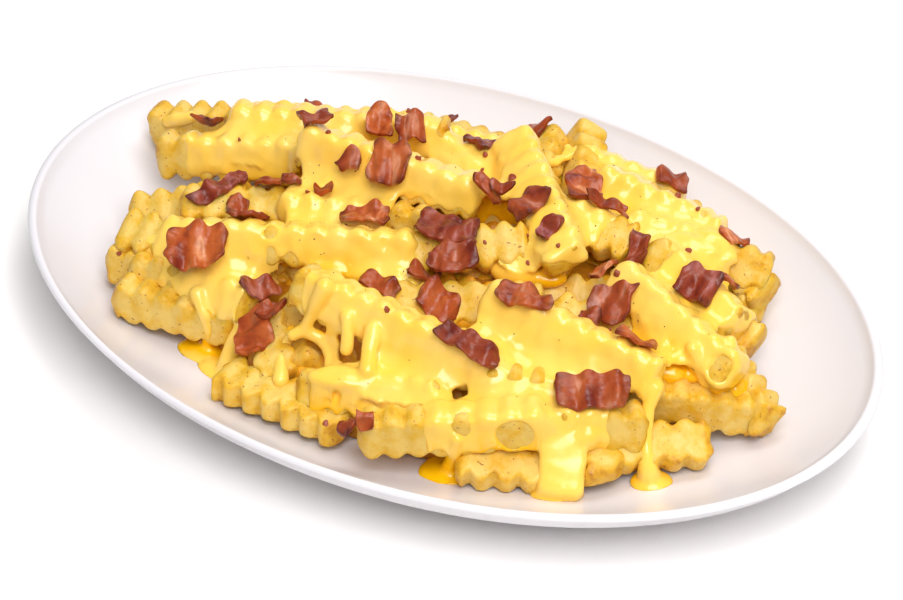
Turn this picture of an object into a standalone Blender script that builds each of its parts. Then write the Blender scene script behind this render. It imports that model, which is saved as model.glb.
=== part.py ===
# Cheese fries
# Crinkle-cut fries heaped on a white oval platter, with poured cheese sauce over them and pieces of
# fried bacon on top. +X runs along the platter and +Z is up. The origin is the middle of its foot.
# Lengths in the tables are millimetres, and MM turns them to metres.

import math
import random

import bmesh
import bpy
from mathutils import Matrix, Vector
from mathutils.bvhtree import BVHTree

MM = 0.001
FLAT = math.radians(5.0)
LEVEL = 1e-4
SEED = 700
SIZE_SPREAD = (0.88, 1.07)

# Platter
PLATTER_LENGTH = 330.0
PLATTER_WIDTH = 228.6
PLATTER_HEIGHT = 30.0
FLOOR_TOP = 5.0
FLOOR_SHARE = 0.45
WALL_CURVE = 3.0
WALL = 4.0
LIP_ROUND = 2.0
LIP_SQUASH = 0.6
LIP_DROP = 1.0
LIP_TURNS = (145, 90, 35, -20)
FOOT_INSIDE = 84.0
FOOT_OUTSIDE = 92.0
FOOT_SLOPE = 1.5
FOOT_JOINS = 3.0
PLATTER_STEPS = 42
PROFILE_STEPS = 5

# Fries
FRY_WIDTH = 14.0
FRY_DEPTH = 11.0
RIDGE_PITCH = 7.8
RIDGE_DEPTH = 1.5
END_NARROWING = 0.86
BEND = 1.2

# Mound of fries that no side shows
MOUND_LENGTH = 216.0
MOUND_WIDTH = 150.0
MOUND_HEIGHT = 31.0
MOUND_EDGE = 2.0
MOUND_SHAPE = 3.2
MOUND_SIDES = 26
MOUND_RINGS = 12

# Sauce, and the gaps that keep the heap off the platter and the bacon off the heap
SAUCE = 0.9
CLEAR = 0.8
BACON_CLEAR = 0.5

# Every fry that shows, from the plate up: one end, the other end, and its turn about its length,
# where 0 has the ridged faces at the sides and 90 has them above and below.
FRIES = {
    "back_low_left": ((-124, 36, 20), (-72, 54, 18), 30),
    "back_low_mid": ((-92, 60, 16), (-40, 74, 16), 90),
    "back_low_far": ((-62, 79, 15), (-8, 85, 15), 0),
    "back_low_top": ((-20, 88, 17), (38, 86, 15), 60),
    "back_low_right": ((26, 86, 17), (72, 70, 17), 20),
    "right_low_back": ((54, 78, 19), (96, 54, 17), 80),
    "front_low_left": ((-36, -79, 15), (14, -75, 14), 0),
    "left_low_bare": ((-91, -69, 18), (-46, -57, 16), 90),
    "front_low_mid": ((56, -69, 16), (91, -48, 15), 20),
    "front_low_block": ((80, -34, 22), (100, -47, 16), 0),
    "front_low_right": ((92, -38, 17), (119, -14, 16), 30),
    "right_low_tip": ((102, 20, 24), (131, 5, 18), 60),
    "left_tip": ((-106, -55, 22), (-58, -46, 25), 80),
    "left_scalloped": ((-92, -58, 25), (-42, -55, 29), 60),
    "left_edge": ((-116, -30, 22), (-78, -10, 33), 40),
    "front_block": ((-32, -40, 30), (-13, -64, 18), 45),
    "front_block_side": ((-36, -54, 27), (-16, -71, 18), 20),
    "front_covered": ((-6, -74, 21), (42, -60, 29), 50),
    "back_mid_left": ((-110, 31, 30), (-58, 45, 32), 10),
    "back_mid": ((-80, 46, 28), (-30, 63, 30), 60),
    "back_mid_far": ((-44, 63, 30), (12, 71, 31), 30),
    "back_mid_right": ((10, 82, 27), (60, 77, 27), 70),
    "right_mid_back": ((50, 72, 28), (98, 58, 26), 30),
    "right_edge": ((74, 37, 31), (108, 34, 23), 30),
    "right_flat": ((86, -17, 26), (124, 8, 18), 90),
    "left_block": ((-105, -48, 30), (-56, -40, 34), 30),
    "left_bare_end": ((-124, -5, 33), (-60, 19, 40), 75),
    "far_left_bare": ((-144, 15, 27), (-84, 31, 39), 88),
    "front_curtain_left": ((26, -83, 24), (78, -50, 31), 90),
    "front_curtain_right": ((66, -56, 29), (103, -28, 26), 80),
    "front_under": ((50, -48, 33), (84, -30, 31), 70),
    "gap_left": ((-94, -28, 34), (-50, -4, 38), 20),
    "gap_mid": ((-60, -14, 39), (-8, 6, 41), 75),
    "centre_low_left": ((-52, -28, 33), (6, -22, 34), 70),
    "centre_low_right": ((-4, -36, 34), (44, -2, 34), 30),
    "centre_low_far": ((-40, 20, 35), (16, 36, 36), 80),
    "gap_right": ((30, 5, 30), (64, 22, 30), 40),
    "gap_knob": ((50, -6, 35), (84, 6, 30), 20),
    "far_gap": ((-42, 50, 37), (-2, 46, 38), 40),
    "far_top_low": ((10, 72, 39), (48, 80, 32), 60),
    "far_tip_left": ((-8, 78, 41), (8, 44, 37), 30),
    "far_tip_right": ((3, 86, 42), (24, 50, 38), 60),
    "far_covered": ((26, 58, 44), (74, 63, 37), 60),
    "right_bare_end": ((48, 45, 41), (96, 62, 32), 60),
    "right_between": ((62, 38, 41), (104, 27, 33), 40),
    "right_short": ((30, 34, 43), (55, 39, 40), 30),
    "far_left_top": ((-106, 16, 42), (-33, 50, 45), 80),
    "mid_ridged": ((-70, -48, 42), (-2, -13, 44), 65),
    "centre_bare": ((-4, -14, 42), (28, 12, 46), 40),
    "right_strip": ((64, 14, 46), (118, 3, 34), 50),
    "front_large": ((-23, -53, 46), (53, -46, 37), 70),
    "front_large_right": ((36, -24, 48), (100, -18, 38), 60),
    "far_large": ((-8, 56, 50), (47, 7, 49), 30),
    "top_large": ((-67, 8, 52), (2, 19, 50), 70),
}

# Sauce that lies along a fry: where it starts and ends as shares of the fry, and how far it hangs
# down from the fry's middle line.
COATS = (
    ("far_left_top", 0.0, 0.94, 5),
    ("far_left_bare", 0.62, 1.0, 4),
    ("left_bare_end", 0.16, 1.0, 6),
    ("top_large", 0.0, 1.02, 4),
    ("gap_mid", 0.0, 0.75, 2),
    ("mid_ridged", -0.02, 1.02, 2),
    ("left_block", 0.34, 1.0, 4),
    ("left_scalloped", 0.45, 1.0, 6),
    ("front_large", 0.06, 1.0, 5),
    ("front_large_right", -0.03, 1.02, 5),
    ("front_curtain_left", 0.34, 1.0, 6),
    ("front_curtain_right", 0.0, 0.74, 6),
    ("front_covered", 0.1, 1.0, 4),
    ("right_edge", 0.3, 0.9, 3),
    ("right_bare_end", 0.0, 0.5, 2),
    ("right_strip", -0.03, 1.04, 4),
    ("right_between", 0.2, 1.0, 4),
    ("far_covered", 0.0, 1.0, 4),
    ("far_top_low", 0.0, 1.0, 4),
    ("far_large", 0.0, 1.02, 3),
    ("right_short", 0.0, 0.6, 3),
    ("far_gap", 0.0, 0.7, 3),
    ("centre_low_left", 0.0, 1.0, 1),
    ("centre_low_far", 0.0, 1.0, 1),
    ("back_mid_left", 0.0, 1.0, 3),
    ("back_mid_far", 0.0, 1.0, 3),
    ("right_mid_back", 0.0, 0.7, 3),
)
COAT_STEP = 13.0
COAT_EDGE = 2.4
COAT_SHOULDER = 0.25
COAT_RAGGED = (-1.5, 2.5)
COAT_LUMPS = 0.4

# Sauce that bridges the fries: middle, half lengths across and upward, and heading
POOLS = (
    ((-66, -52, 31), (24, 11, 5), 12),
    ((-83, -44, 34), (13, 9, 5), 10),
    ((24, -64, 30), (22, 9, 6), 30),
    ((62, -42, 34), (20, 10, 5), 30),
    ((90, -40, 26), (9, 6, 8), 40),
    ((88, 32, 37), (16, 9, 5), -20),
    ((66, 50, 41), (20, 9, 5), 15),
    ((-14, 44, 44), (15, 7, 4), -10),
    ((30, 10, 38), (14, 9, 5), 20),
    ((94, -2, 31), (16, 8, 5), 10),
    ((-20, -24, 38), (18, 8, 5), 20),
)

# Sauce that runs down: top, bottom and half widths along and across the fry it leaves
DRIPS = (
    ((-60, -60, 30), (-57, -65, 12), 3, 3),
    ((-18, -56, 40), (-12, -66, 26), 3, 2),
    ((-38, -54, 30), (-29, -64, 17), 3, 3),
    ((-2, -58, 36), (0, -61, 28), 3, 2),
    ((50, -71, 24), (53, -74, 10), 5, 3),
    ((86, -48, 28), (88, -53, 10), 9, 3),
    ((108, -30, 30), (110, -33, 12), 4, 3),
)
DRIP_REACH = 1.1

# Sauce that has run out onto the plate: middle, half lengths and heading
PUDDLES = (
    ((-56, -68), (15, 8), 10),
    ((54, -74), (13, 8), 30),
    ((88, -55), (10, 5), 35),
    ((109, -34), (8, 5), 30),
)
PUDDLE_RISE = 2.6
PUDDLE_SIDES = 14
PUDDLE_SLOPE = 0.8

# Pieces of bacon in the order they fall: middle on the plan, length and width, and heading
BACON = (
    ((-84, 38), (12, 6), 25),
    ((-64, 12), (11, 11), 50),
    ((-52, 34), (12, 12), 30),
    ((-40, 38), (12, 11), 40),
    ((-20, 54), (15, 11), 80),
    ((-29, 8), (17, 16), 20),
    ((-42, 3), (11, 7), 30),
    ((-84, -18), (27, 8), 75),
    ((-69, -9), (14, 9), 30),
    ((-60, -8), (10, 6), 35),
    ((-47, -6), (7, 5), 35),
    ((-73, -22), (11, 8), 20),
    ((-60, -33), (16, 11), 35),
    ((-25, -11), (20, 12), 25),
    ((7, -21), (14, 7), 30),
    ((5, -4), (24, 17), 25),
    ((17, -26), (16, 13), -10),
    ((15, -14), (18, 11), 35),
    ((-65, -56), (21, 15), 35),
    ((-3, -32), (20, 7), 0),
    ((-40, -50), (16, 8), 60),
    ((-32, -66), (17, 15), -60),
    ((-28, -60), (10, 8), 0),
    ((47, -49), (27, 10), 0),
    ((51, -24), (20, 11), 20),
    ((22, 21), (18, 12), 80),
    ((36, 13), (12, 8), 80),
    ((8, 16), (11, 6), 0),
    ((13, 18), (9, 5), 35),
    ((29, 46), (20, 14), -50),
    ((42, 42), (16, 6), 20),
    ((60, 33), (14, 8), 110),
    ((59, 13), (14, 7), 85),
    ((71, 1), (16, 14), 10),
    ((88, 27), (17, 14), 0),
    ((95, 35), (8, 6), 35),
    ((68, -10), (10, 6), 10),
    ((90, -14), (15, 10), 10),
    ((88, -37), (32, 13), 35),
    ((26, -88), (10, 7), 80),
    ((31, -86), (6, 5), 35),
    ((-98, 54), (14, 10), 10),
    ((-50, 66), (16, 11), 50),
    ((-10, 74), (13, 9), -20),
    ((44, 78), (14, 10), 30),
    ((82, 60), (12, 9), 70),
    ((-112, 8), (12, 8), 0),
)
BACON_THICKNESS = 1.6
BACON_ROUGH = (0.82, 1.12)
BACON_CORNER = 0.88
BACON_WAVE = 1.6
SHORTEST_WAVE = 9.0
WAVE_SHARE = 0.8
BACON_DROOP = 0.4
BACON_SAG = 4.0
STEEPEST = 0.55
SPOTS = 7
LONG_PIECE = 13.0
WIDE_PIECE = 10.0
SKY = 150.0

WHITE_GLAZE = (0.92, 0.90, 0.89)
FRIES_AND_SAUCE = (0.92, 0.66, 0.16)
FRIED_BACON = (0.42, 0.13, 0.08)


def clear_scene():
    for thing in list(bpy.data.objects):
        bpy.data.objects.remove(thing, do_unlink=True)


def make_material(name, colour, roughness):
    material = bpy.data.materials.new(name)
    material.use_nodes = True
    surface = material.node_tree.nodes["Principled BSDF"]
    surface.inputs["Base Color"].default_value = (*colour, 1.0)
    surface.inputs["Roughness"].default_value = roughness
    surface.inputs["Metallic"].default_value = 0.0
    material.diffuse_color = (*colour, 1.0)
    return material


def add_object(name, mesh, collection, material=None):
    thing = bpy.data.objects.new(name, mesh)
    collection.objects.link(thing)
    if material:
        mesh.materials.append(material)
    return thing


def mesh_from(bm, name):
    bmesh.ops.recalc_face_normals(bm, faces=bm.faces)
    mesh = bpy.data.meshes.new(name)
    bm.to_mesh(mesh)
    bm.free()
    return mesh


def inner_profile():
    """Radius and height of the platter's inner surface, from its middle to the start of the lip."""
    reach = PLATTER_LENGTH / 2 - 2 * LIP_ROUND
    points = [(0.0, FLOOR_TOP)]
    for step in range(PROFILE_STEPS + 1):
        climb = step / PROFILE_STEPS
        radius = reach * (FLOOR_SHARE + (1.0 - FLOOR_SHARE) * climb)
        rise = (PLATTER_HEIGHT - FLOOR_TOP) * climb ** WALL_CURVE - LIP_DROP * climb
        points.append((radius, FLOOR_TOP + max(0.0, rise)))
    return points


def inside_height(x, y):
    """Height of the platter's inner surface in millimetres, at a place on the plan."""
    radius = math.hypot(x, y * PLATTER_LENGTH / PLATTER_WIDTH)
    points = inner_profile()
    for (near, low), (far, high) in zip(points, points[1:]):
        if radius <= far:
            return low + (high - low) * (radius - near) / (far - near)
    return points[-1][1]


def platter_profile():
    """Points from the middle of the inner floor, over the lip and down to the underside."""
    inner = inner_profile()
    lip_middle = PLATTER_LENGTH / 2 - LIP_ROUND
    lip_height = inner[-1][1]
    lip = []
    for angle in LIP_TURNS:
        across = LIP_ROUND * math.cos(math.radians(angle))
        rise = LIP_ROUND * math.sin(math.radians(angle)) * LIP_SQUASH
        lip.append((lip_middle + across, lip_height + rise))
    outer = []
    for before, point, after in zip(inner, inner[1:], inner[2:]):
        tilt = math.atan2(after[1] - before[1], after[0] - before[0])
        wall = (point[0] + WALL * math.sin(tilt), point[1] - WALL * math.cos(tilt))
        if wall[0] > FOOT_OUTSIDE + FOOT_JOINS:
            outer.insert(0, wall)
    under = FLOOR_TOP - WALL
    foot = [
        (FOOT_OUTSIDE, under),
        (FOOT_OUTSIDE - FOOT_SLOPE, 0.0),
        (FOOT_INSIDE, 0.0),
        (FOOT_INSIDE - FOOT_SLOPE, under),
    ]
    return inner + lip + outer + foot + [(0.0, under)]


def build_platter(collection):
    profile = bpy.data.meshes.new("platter")
    points = [(radius * MM, 0.0, height * MM) for radius, height in platter_profile()]
    edges = [(i, i + 1) for i in range(len(points) - 1)]
    profile.from_pydata(points, edges, [])
    white = make_material("white_glaze", WHITE_GLAZE, 0.15)
    platter = add_object("platter", profile, collection, white)
    platter.scale = (1.0, PLATTER_WIDTH / PLATTER_LENGTH, 1.0)
    screw = platter.modifiers.new("turned", "SCREW")
    screw.steps = PLATTER_STEPS
    screw.render_steps = PLATTER_STEPS
    screw.use_merge_vertices = True
    screw.merge_threshold = 0.00001
    return platter


def frame_along(start, end, turn):
    """A place and direction with X from start to end, turned about that line."""
    along = (end - start).normalized()
    side = Vector((0.0, 0.0, 1.0)).cross(along).normalized()
    above = along.cross(side)
    basis = Matrix((along, side, above)).transposed().to_4x4()
    return Matrix.Translation((start + end) / 2) @ basis @ Matrix.Rotation(math.radians(turn), 4, "X")


def cut_across(bm, places):
    for place in places:
        parts = bm.verts[:] + bm.edges[:] + bm.faces[:]
        bmesh.ops.bisect_plane(bm, geom=parts, plane_co=(place, 0, 0), plane_no=(1, 0, 0))


def lift_clear(bm):
    """Raise the piece until it clears the platter."""
    short = max(inside_height(v.co.x, v.co.y) + CLEAR - v.co.z for v in bm.verts)
    if short > 0:
        bmesh.ops.translate(bm, verts=bm.verts, vec=(0, 0, short))


def to_metres(bm):
    bmesh.ops.scale(bm, verts=bm.verts, vec=(MM, MM, MM))


def fry_shape(name):
    """Place, length and the draws that make one fry differ from the next."""
    start, end, turn = FRIES[name]
    start, end = Vector(start), Vector(end)
    draw = random.Random(name)
    return {
        "place": frame_along(start, end, turn),
        "length": (end - start).length,
        "width": FRY_WIDTH * draw.uniform(*SIZE_SPREAD),
        "depth": FRY_DEPTH * draw.uniform(*SIZE_SPREAD),
        "mirror": draw.choice((-1, 1)),
        "bend": draw.uniform(-BEND, BEND),
    }


def is_coated(name, share):
    """Whether sauce hides the ridges at this share of a fry's length."""
    return any(row[0] == name and row[1] < share < row[2] for row in COATS)


def build_fry(name, collection):
    """A square bar cut across at each crest and hollow, with two faces pushed in and out."""
    fry = fry_shape(name)
    length = fry["length"]
    bm = bmesh.new()
    bmesh.ops.create_cube(bm, size=1.0, matrix=Matrix.Diagonal((length, fry["width"], fry["depth"], 1)))
    half_pitches = max(4, round(length / (RIDGE_PITCH / 2)))
    step = length / half_pitches
    shown = [i for i in range(1, half_pitches) if not is_coated(name, i / half_pitches)]
    cut_across(bm, [step * i - length / 2 for i in shown])
    for v in bm.verts:
        along = v.co.x / (length / 2)
        number = round((v.co.x + length / 2) / step)
        if not is_coated(name, number / half_pitches):
            wave = RIDGE_DEPTH if number % 2 else -RIDGE_DEPTH
            side = 1 if v.co.y > 0 or fry["mirror"] < 0 else -1
            v.co.y += wave * side
        if abs(along) > 0.99:
            v.co.y *= END_NARROWING
            v.co.z *= END_NARROWING
        v.co.z += fry["bend"] * (1 - along * along)
    bmesh.ops.transform(bm, matrix=fry["place"], verts=bm.verts)
    lift_clear(bm)
    to_metres(bm)
    return add_object("piece_" + name, mesh_from(bm, name), collection)


def build_coat(row, collection):
    """Sauce over a fry: a bar with softened edges over its upper part, with an uneven lower edge."""
    name, first, last, hang = row
    fry = fry_shape(name)
    start, end, turn = FRIES[name]
    start, end = Vector(start), Vector(end)
    draw = random.Random("coat" + name)
    low, high = start.lerp(end, first), start.lerp(end, last)
    length = (high - low).length
    tilt = math.radians(turn)
    ridged = fry["width"] / 2 + RIDGE_DEPTH
    flat = fry["depth"] / 2
    spare = flat * COAT_SHOULDER + SAUCE
    across = max(ridged * abs(math.cos(tilt)), flat * abs(math.sin(tilt))) + spare
    top = max(ridged * abs(math.sin(tilt)), flat * abs(math.cos(tilt))) + spare
    bm = bmesh.new()
    bmesh.ops.create_cube(bm, size=1.0, matrix=Matrix.Diagonal((length, across * 2, top + hang, 1)))
    along = [e for e in bm.edges if abs(e.verts[0].co.x - e.verts[1].co.x) > length / 2]
    bmesh.ops.bevel(bm, geom=along, offset=COAT_EDGE, segments=1, affect="EDGES")
    pieces = max(2, round(length / COAT_STEP))
    cut_across(bm, [-length / 2 + length * i / pieces for i in range(1, pieces)])
    for v in bm.verts:
        if v.co.z < 0:
            v.co.z -= draw.uniform(*COAT_RAGGED)
        else:
            v.co.z += draw.uniform(-COAT_LUMPS, COAT_LUMPS)
    bmesh.ops.translate(bm, verts=bm.verts, vec=(0, 0, (top - hang) / 2 + fry["bend"] / 2))
    bmesh.ops.transform(bm, matrix=frame_along(low, high, 0), verts=bm.verts)
    lift_clear(bm)
    to_metres(bm)
    return add_object("coat_" + name, mesh_from(bm, "coat"), collection)


def build_pool(number, row, collection):
    middle, halves, heading = row
    bm = bmesh.new()
    place = Matrix.Translation(middle) @ Matrix.Rotation(math.radians(heading), 4, "Z")
    bmesh.ops.create_icosphere(bm, subdivisions=2, radius=1.0)
    bmesh.ops.scale(bm, verts=bm.verts, vec=halves)
    bmesh.ops.transform(bm, matrix=place, verts=bm.verts)
    lift_clear(bm)
    to_metres(bm)
    return add_object("pool_%02d" % number, mesh_from(bm, "pool"), collection)


def build_drip(number, row, collection):
    top, bottom, half_along, half_across = row
    top, bottom = Vector(top), Vector(bottom)
    bm = bmesh.new()
    bmesh.ops.create_icosphere(bm, subdivisions=2, radius=1.0)
    half_length = (bottom - top).length / 2 * DRIP_REACH
    bmesh.ops.scale(bm, verts=bm.verts, vec=(half_length, half_along, half_across))
    bmesh.ops.transform(bm, matrix=frame_along(top, bottom, 0), verts=bm.verts)
    lift_clear(bm)
    to_metres(bm)
    return add_object("drip_%02d" % number, mesh_from(bm, "drip"), collection)


def build_puddle(number, row, collection):
    """A thin round that follows the platter."""
    middle, halves, heading = row
    bm = bmesh.new()
    bmesh.ops.create_cone(
        bm, cap_ends=True, segments=PUDDLE_SIDES, radius1=1.0, radius2=PUDDLE_SLOPE, depth=1.0
    )
    bmesh.ops.scale(bm, verts=bm.verts, vec=(halves[0], halves[1], 1.0))
    bmesh.ops.poke(bm, faces=[f for f in bm.faces if len(f.verts) > 4])
    place = Matrix.Translation((*middle, 0)) @ Matrix.Rotation(math.radians(heading), 4, "Z")
    bmesh.ops.transform(bm, matrix=place, verts=bm.verts)
    for v in bm.verts:
        rise = PUDDLE_RISE if v.co.z > 0 else 0.0
        v.co.z = inside_height(v.co.x, v.co.y) + CLEAR + rise
    to_metres(bm)
    return add_object("puddle_%02d" % number, mesh_from(bm, "puddle"), collection)


def build_mound(collection):
    """The hidden fries as one low loaf that follows the platter."""
    bm = bmesh.new()
    bmesh.ops.create_uvsphere(bm, u_segments=MOUND_SIDES, v_segments=MOUND_RINGS, radius=1.0)
    for v in bm.verts:
        share = min(1.0, math.hypot(v.co.x, v.co.y))
        x, y = v.co.x * MOUND_LENGTH / 2, v.co.y * MOUND_WIDTH / 2
        base = inside_height(x, y) + CLEAR
        if v.co.z > LEVEL:
            base += MOUND_EDGE + (MOUND_HEIGHT - MOUND_EDGE) * (1.0 - share ** MOUND_SHAPE)
        elif v.co.z > -LEVEL:
            base += MOUND_EDGE
        v.co = (x, y, base)
    to_metres(bm)
    return add_object("fries_heap", mesh_from(bm, "fries_heap"), collection)


def body_of(seed_face):
    """All the faces joined to one face."""
    found, queue = {seed_face}, [seed_face]
    while queue:
        face = queue.pop()
        for edge in face.edges:
            for other in edge.link_faces:
                if other not in found:
                    found.add(other)
                    queue.append(other)
    return found


def volume_of(faces):
    total = 0.0
    for face in faces:
        corners = [v.co for v in face.verts]
        for i in range(1, len(corners) - 1):
            total += corners[0].dot(corners[i].cross(corners[i + 1])) / 6
    return total


def keep_main_body(mesh):
    """Drop loose scraps, and fill sealed hollows by dropping their walls."""
    bm = bmesh.new()
    bm.from_mesh(mesh)
    bmesh.ops.dissolve_limit(bm, angle_limit=FLAT, verts=bm.verts, edges=bm.edges, delimit=set())
    bmesh.ops.triangulate(bm, faces=bm.faces)
    left = set(bm.faces)
    bodies = []
    while left:
        body = body_of(next(iter(left)))
        left -= body
        bodies.append(body)
    bodies.sort(key=volume_of)
    spare = [face for body in bodies[:-1] for face in body]
    bmesh.ops.delete(bm, geom=spare, context="FACES")
    bm.to_mesh(mesh)
    bm.free()


def join_heap(heap, pieces):
    """One union of the mound with every fry and all the sauce."""
    union = heap.modifiers.new("joined", "BOOLEAN")
    union.operation = "UNION"
    union.solver = "MANIFOLD"
    union.operand_type = "COLLECTION"
    union.collection = pieces
    bpy.context.view_layer.update()
    joined = bpy.data.meshes.new_from_object(heap.evaluated_get(bpy.context.evaluated_depsgraph_get()))
    heap.modifiers.clear()
    heap.data = joined
    for piece in list(pieces.objects):
        bpy.data.objects.remove(piece, do_unlink=True)
    bpy.data.collections.remove(pieces)
    keep_main_body(heap.data)


def build_heap(collection):
    pieces = bpy.data.collections.new("heap_pieces")
    bpy.context.scene.collection.children.link(pieces)
    heap = build_mound(collection)
    for name in FRIES:
        build_fry(name, pieces)
    for row in COATS:
        build_coat(row, pieces)
    for number, row in enumerate(POOLS):
        build_pool(number, row, pieces)
    for number, row in enumerate(DRIPS):
        build_drip(number, row, pieces)
    for number, row in enumerate(PUDDLES):
        build_puddle(number, row, pieces)
    join_heap(heap, pieces)
    heap.data.materials.clear()
    heap.data.materials.append(make_material("fries_and_sauce", FRIES_AND_SAUCE, 0.35))
    return heap


def height_below(grounds, x, y):
    """Highest of the platter and all that lies on it, at a place on the plan, in millimetres."""
    heights = [inside_height(x, y)]
    for ground in grounds:
        hit = ground.ray_cast(Vector((x * MM, y * MM, SKY * MM)), Vector((0, 0, -1)))[0]
        if hit:
            heights.append(hit.z / MM)
    return max(heights)


def spots_over(bm, lift=0.0):
    """Places spread over every face of a piece, moved out from the face by the lift."""
    spots = []
    for face in bm.faces:
        face.normal_update()
        up = face.normal if face.normal.z > 0 else -face.normal
        a, b, c = [v.co for v in face.verts]
        for i in range(SPOTS + 1):
            for j in range(SPOTS + 1 - i):
                spots.append(a + (b - a) * (i / SPOTS) + (c - a) * (j / SPOTS) + up * lift)
    return spots


def resting_plane(points, x, y):
    """The face of the points' upper hull that carries a weight at x, y: its place and its slope."""
    hull = bmesh.new()
    for point in points:
        hull.verts.new(point)
    bmesh.ops.convex_hull(hull, input=hull.verts)
    tree = BVHTree.FromBMesh(hull)
    place, normal = tree.ray_cast(Vector((x, y, SKY)), Vector((0, 0, -1)))[:2]
    hull.free()
    fall = Vector((-normal.x / normal.z, -normal.y / normal.z))
    if fall.length > STEEPEST:
        fall *= STEEPEST / fall.length
    return place, fall


def bacon_sheet(row, draw):
    """A flat, rough-edged piece of bacon lying level, still without thickness."""
    middle, size, heading = row
    bm = bmesh.new()
    across = 3 if size[0] > LONG_PIECE else 2
    down = 3 if size[1] > WIDE_PIECE else 2
    bmesh.ops.create_grid(bm, x_segments=across, y_segments=down, size=0.5)
    for v in bm.verts:
        outer = [abs(place) > 0.5 - LEVEL for place in v.co[:2]]
        rough = draw.uniform(*BACON_ROUGH) if any(outer) else 1.0
        v.co *= rough * (BACON_CORNER if all(outer) else 1.0)
    bmesh.ops.scale(bm, verts=bm.verts, vec=(size[0], size[1], 1.0))
    bmesh.ops.rotate(bm, verts=bm.verts, matrix=Matrix.Rotation(math.radians(heading), 3, "Z"))
    bmesh.ops.translate(bm, verts=bm.verts, vec=(*middle, 0.0))
    bmesh.ops.triangulate(bm, faces=bm.faces)
    return bm


def build_bacon(number, row, grounds, collection, material):
    """Lay the piece on what carries it, let it sag, and give it thickness upward."""
    (x, y), size, heading = row
    draw = random.Random(SEED + number)
    bm = bacon_sheet(row, draw)
    points = [Vector((p.x, p.y, height_below(grounds, p.x, p.y))) for p in spots_over(bm)]
    place, fall = resting_plane(points, x, y)
    turn, phase = draw.uniform(0, math.tau), draw.uniform(0, math.tau)
    waves = math.tau / max(SHORTEST_WAVE, size[0] * WAVE_SHARE)
    for v in bm.verts:
        level = place.z + (v.co.x - place.x) * fall.x + (v.co.y - place.y) * fall.y
        gap = level - height_below(grounds, v.co.x, v.co.y)
        reached = (v.co.x - x) * math.cos(turn) + (v.co.y - y) * math.sin(turn)
        ripple = BACON_WAVE * (1 + math.sin(waves * reached + phase)) / 2
        v.co.z = level - BACON_DROOP * max(0.0, min(gap, BACON_SAG)) + ripple
    reach = spots_over(bm) + spots_over(bm, BACON_THICKNESS)
    short = max(height_below(grounds, p.x, p.y) - p.z for p in reach) + BACON_CLEAR
    bmesh.ops.translate(bm, verts=bm.verts, vec=(0, 0, short))
    to_metres(bm)
    bacon = add_object("bacon_%02d" % number, mesh_from(bm, "bacon"), collection, material)
    if bacon.data.polygons[0].normal.z < 0:
        bacon.data.flip_normals()
    solid = bacon.modifiers.new("thickness", "SOLIDIFY")
    solid.thickness = BACON_THICKNESS * MM
    solid.offset = 1.0
    return bacon


def build_all_bacon(heap, collection):
    red = make_material("fried_bacon", FRIED_BACON, 0.4)
    bpy.context.view_layer.update()
    grounds = [BVHTree.FromObject(heap, bpy.context.evaluated_depsgraph_get())]
    for number, row in enumerate(BACON, start=1):
        bacon = build_bacon(number, row, grounds, collection, red)
        bpy.context.view_layer.update()
        grounds.append(BVHTree.FromObject(bacon, bpy.context.evaluated_depsgraph_get()))


clear_scene()
parts = bpy.data.collections.new("cheese_fries")
bpy.context.scene.collection.children.link(parts)
build_platter(parts)
build_all_bacon(build_heap(parts), parts)
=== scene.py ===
import math
import random

import bpy
import numpy as np
from mathutils import Matrix, Vector, noise
from mathutils.bvhtree import BVHTree


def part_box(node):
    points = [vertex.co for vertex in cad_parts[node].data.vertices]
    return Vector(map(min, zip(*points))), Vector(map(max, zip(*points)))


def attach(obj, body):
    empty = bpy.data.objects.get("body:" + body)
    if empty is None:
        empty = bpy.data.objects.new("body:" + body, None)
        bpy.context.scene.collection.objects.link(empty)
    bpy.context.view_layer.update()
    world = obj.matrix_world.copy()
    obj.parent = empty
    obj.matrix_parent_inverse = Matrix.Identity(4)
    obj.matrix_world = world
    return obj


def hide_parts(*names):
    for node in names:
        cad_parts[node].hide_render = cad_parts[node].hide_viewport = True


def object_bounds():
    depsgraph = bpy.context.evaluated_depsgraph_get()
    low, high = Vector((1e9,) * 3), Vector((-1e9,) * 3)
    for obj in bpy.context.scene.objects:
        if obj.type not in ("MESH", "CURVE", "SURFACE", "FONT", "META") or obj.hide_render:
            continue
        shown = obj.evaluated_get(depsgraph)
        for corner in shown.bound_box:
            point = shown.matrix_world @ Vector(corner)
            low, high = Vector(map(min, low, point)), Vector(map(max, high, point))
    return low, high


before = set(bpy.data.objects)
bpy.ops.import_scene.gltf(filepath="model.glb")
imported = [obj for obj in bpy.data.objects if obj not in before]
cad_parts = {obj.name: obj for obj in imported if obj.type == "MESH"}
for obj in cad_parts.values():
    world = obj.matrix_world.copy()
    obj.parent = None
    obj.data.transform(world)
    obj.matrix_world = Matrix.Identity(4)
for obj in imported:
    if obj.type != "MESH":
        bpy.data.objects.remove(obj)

# The stage: a plain white table top, seen from the front right and from above. Soft light comes from a
# high window behind the dish, from a panel in front of it and from a wide low one at the back.
MM = 0.001
cad_box = [list(corner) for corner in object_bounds()]
CAMERA_TURN = math.radians(35.42)
CAMERA_RISE = math.radians(37.0)
CAMERA_AWAY = 1.1
CAMERA_LENS = 120.9
SENSOR = 36.0
AIM = Vector((-0.0098, 0.0198, 0.0))
FLOOR_HALF = 4.0
FLOOR_WHITE = (0.95, 0.93, 0.915, 1.0)
SKY_WHITE = (1.0, 1.0, 1.0, 1.0)
SKY_STRENGTH = 0.26


def direction(turn, rise):
    return Vector((math.sin(turn) * math.cos(rise), -math.cos(turn) * math.cos(rise), math.sin(rise)))


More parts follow.
